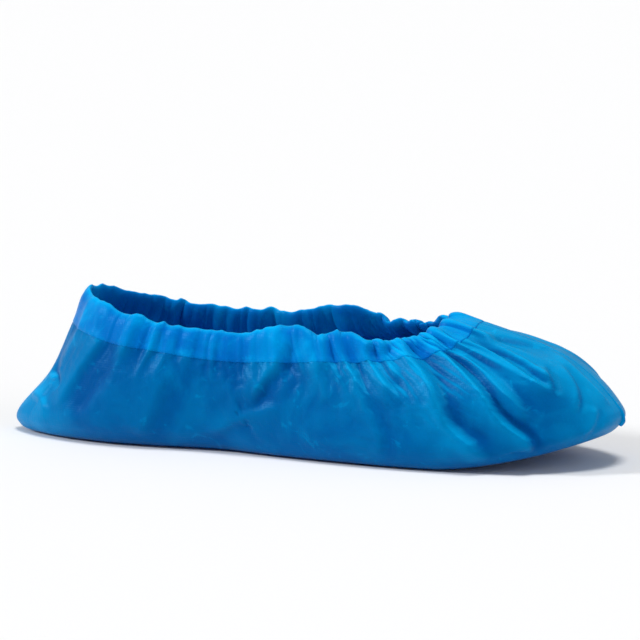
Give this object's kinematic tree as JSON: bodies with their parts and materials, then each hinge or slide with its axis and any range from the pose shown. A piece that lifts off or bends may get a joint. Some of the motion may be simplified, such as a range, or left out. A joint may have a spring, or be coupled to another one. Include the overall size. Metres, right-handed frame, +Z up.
{
  "type": "disposable shoe cover",
  "caption": "Gathered film shoe cover with a flat sole, pointed toe and an elastic hem round an open ankle mouth, in the form that it has when worn.",
  "frame": {"origin": "on the inner face of the sole under the wearer's instep, where the shoe that the cover is pulled over stands", "axes": "+X along the foot from heel to toe, +Z up out of the mouth, -Y to the near side"},
  "size_m": [0.3575, 0.1167, 0.0822],
  "materials": {
    "film": "thin embossed translucent blue film, softly glossy",
    "hem": "the same film doubled over and gathered, lighter and brighter",
    "seam": "heat-sealed film edge, flattened and glossier",
    "elastic": "pale flat rubber band, dull"
  },
  "bodies": {
    "root": {"film_bag": "film", "hem_channel": "hem", "elastic_band": "elastic", "toe_seam": "seam", "heel_seam": "seam"}
  },
  "joints": []
}
